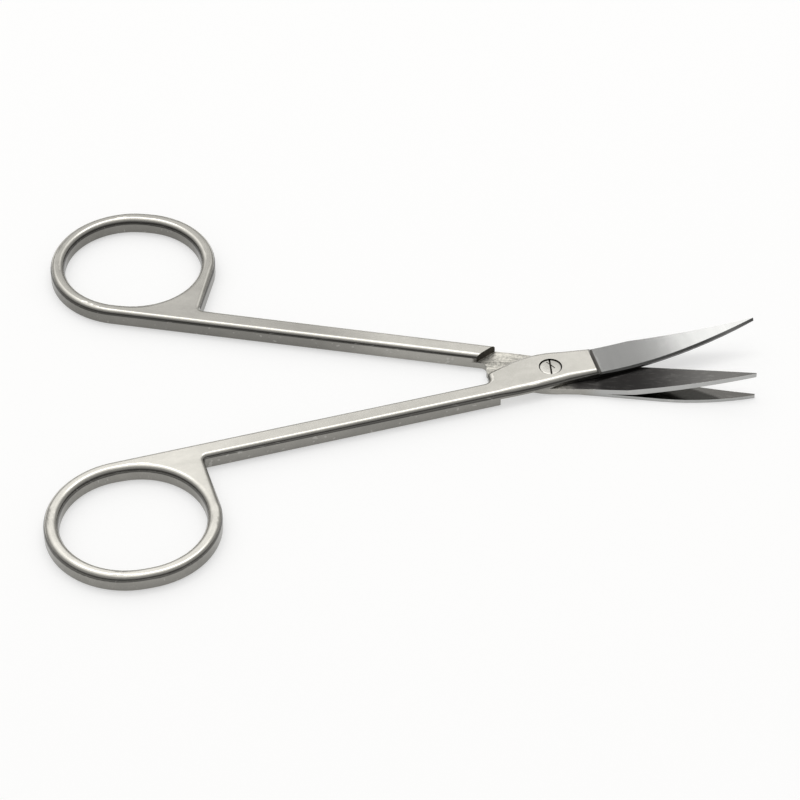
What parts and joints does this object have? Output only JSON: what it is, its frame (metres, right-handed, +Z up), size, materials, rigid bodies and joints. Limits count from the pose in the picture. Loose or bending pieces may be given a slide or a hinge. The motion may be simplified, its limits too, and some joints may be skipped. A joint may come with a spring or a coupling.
{
  "type": "micro scissors",
  "caption": "Fine surgical scissors with ring handles, upward-curved pointed blades, a forked lower blade and a flush slotted pivot screw, lying open.",
  "frame": {"origin": "on the pivot axis, in the plane of the underside that the scissors lie on", "axes": "+X from the pivot towards the blade tips along the middle of the open pair, +Y to the side of the back half's finger ring, +Z up, along the pivot axis"},
  "size_m": [0.1152, 0.0886, 0.0059],
  "materials": {
    "satin_steel": "satin, blades ground brighter",
    "screw_steel": "satin turned"
  },
  "bodies": {
    "back": {"back_half": "satin_steel", "pivot_screw": "screw_steel"},
    "front": {"front_half": "satin_steel"}
  },
  "joints": [
    {"name": "pivot", "type": "hinge", "parent": "back", "child": "front", "pos_m": [0, 0, 0], "axis": [0, 0, 1], "range_deg": [-21.7, 38]}
  ]
}
